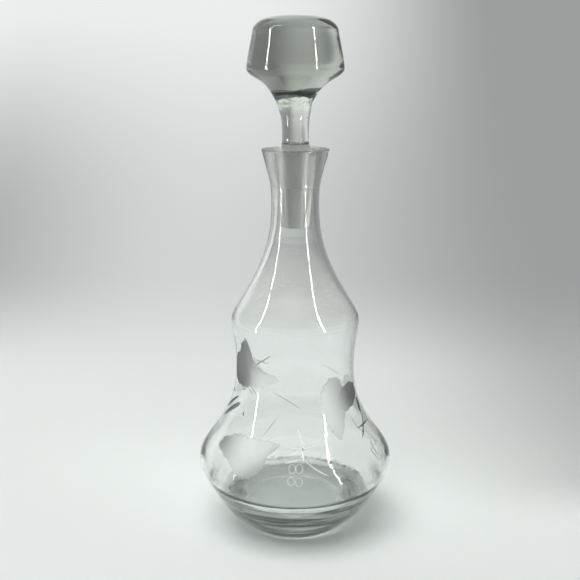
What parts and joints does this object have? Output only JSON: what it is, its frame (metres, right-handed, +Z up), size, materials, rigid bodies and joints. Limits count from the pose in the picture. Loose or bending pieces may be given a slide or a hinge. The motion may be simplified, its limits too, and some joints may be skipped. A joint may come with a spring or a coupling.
{
  "type": "decanter",
  "caption": "Waisted clear glass decanter with a thick base, grapevine engraving and a solid ground glass stopper that lifts out.",
  "frame": {"origin": "centre of the foot, on the surface that the decanter stands on", "axes": "+Z up along the axis that the bottle and stopper are turned about"},
  "size_m": [0.127, 0.127, 0.3302],
  "materials": {
    "bottle_glass": "clear blown glass, fire-polished, with frosted cut engraving and a ground bore",
    "stopper_glass": "solid clear glass, polished head, plug ground to the bore"
  },
  "bodies": {
    "bottle": {"bottle": "bottle_glass"},
    "stopper": {"stopper": "stopper_glass"}
  },
  "joints": [
    {"name": "stopper_lift", "type": "slide", "parent": "bottle", "child": "stopper", "axis": [0, 0, 1], "range_m": [0, 0.08]}
  ]
}
